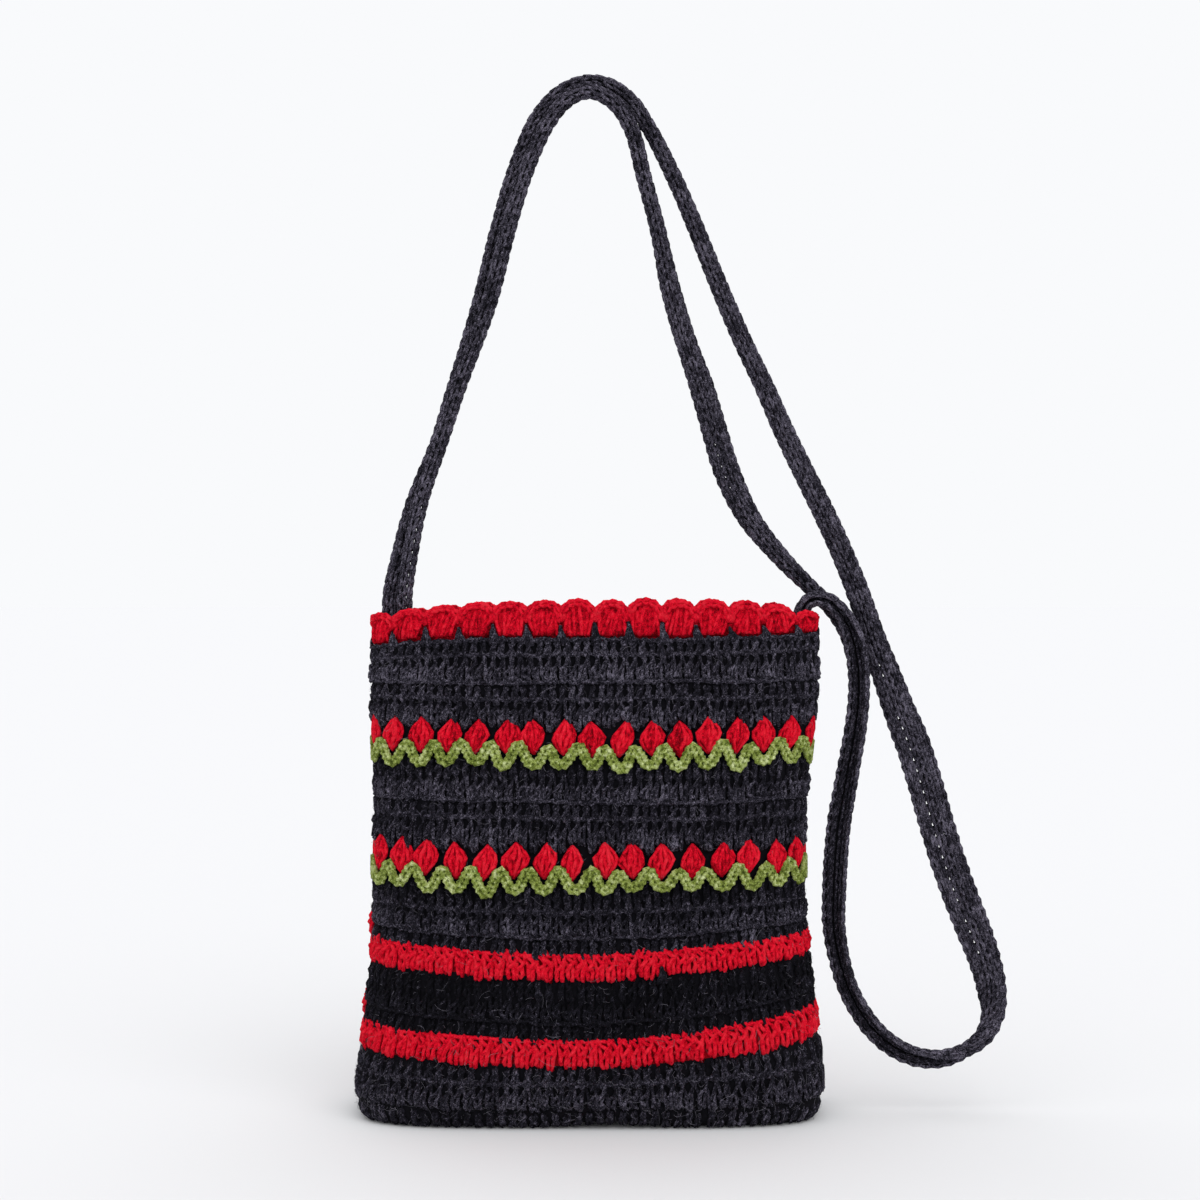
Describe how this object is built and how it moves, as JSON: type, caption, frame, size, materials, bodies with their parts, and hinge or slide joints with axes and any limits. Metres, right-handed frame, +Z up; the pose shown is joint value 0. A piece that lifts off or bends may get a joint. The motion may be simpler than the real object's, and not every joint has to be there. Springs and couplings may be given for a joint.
{
  "type": "crocheted crossbody bag",
  "caption": "Crocheted wool shoulder pouch with a flat base, raised tulip rows, red stripes, a scalloped mouth and a long crocheted strap that loops down at one side.",
  "frame": {"origin": "middle of the pouch's flat base, on the surface that it stands on", "axes": "+X to the right of someone who faces the bag's front, towards the hanging loop of the strap; +Y to the bag's back; +Z up, through the mouth"},
  "size_m": [0.2934, 0.0701, 0.4707],
  "materials": {
    "charcoal_wool": "matte",
    "red_wool": "matte",
    "green_wool": "matte"
  },
  "bodies": {
    "root": {"body": "charcoal_wool", "leaf_row_lower": "green_wool", "leaf_row_upper": "green_wool", "petal_row_lower": "red_wool", "petal_row_upper": "red_wool", "scallop_edge": "red_wool", "strap_long_run": "charcoal_wool", "strap_short_run": "charcoal_wool"}
  },
  "joints": []
}
